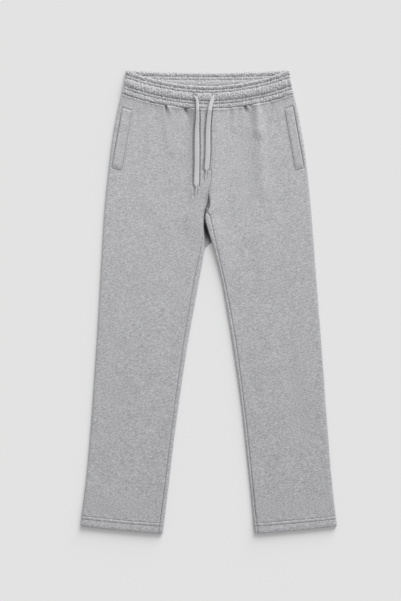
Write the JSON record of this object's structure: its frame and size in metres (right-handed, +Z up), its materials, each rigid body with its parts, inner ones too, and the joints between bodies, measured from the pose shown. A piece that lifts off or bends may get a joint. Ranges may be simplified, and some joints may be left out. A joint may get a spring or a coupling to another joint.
{
  "type": "straight-leg sweatpants laid flat",
  "caption": "Straight-leg fleece sweatpants lying flat on their back: gathered elastic waistband with a flat drawstring, slanted welt pockets and turned hems.",
  "frame": {"origin": "middle of the footprint, on the surface that the garment lies on", "axes": "+Z up out of the front of the garment, +Y from the hems to the waistband, +X towards the wearer's left leg"},
  "size_m": [0.5813, 1.049, 0.0144],
  "materials": {
    "fleece": "matte light grey marl fleece jersey",
    "band_fleece": "the same fleece, gathered over elastic",
    "cord": "matte pale grey flat knitted cord"
  },
  "bodies": {
    "root": {"front_right": "fleece", "front_left": "fleece", "back_right": "fleece", "back_left": "fleece", "waistband_front": "band_fleece", "waistband_back": "band_fleece", "pocket_welt_right": "fleece", "pocket_welt_left": "fleece", "drawcord_right": "cord", "drawcord_left": "cord", "cord_tip_right": "cord", "cord_tip_left": "cord"}
  },
  "joints": []
}
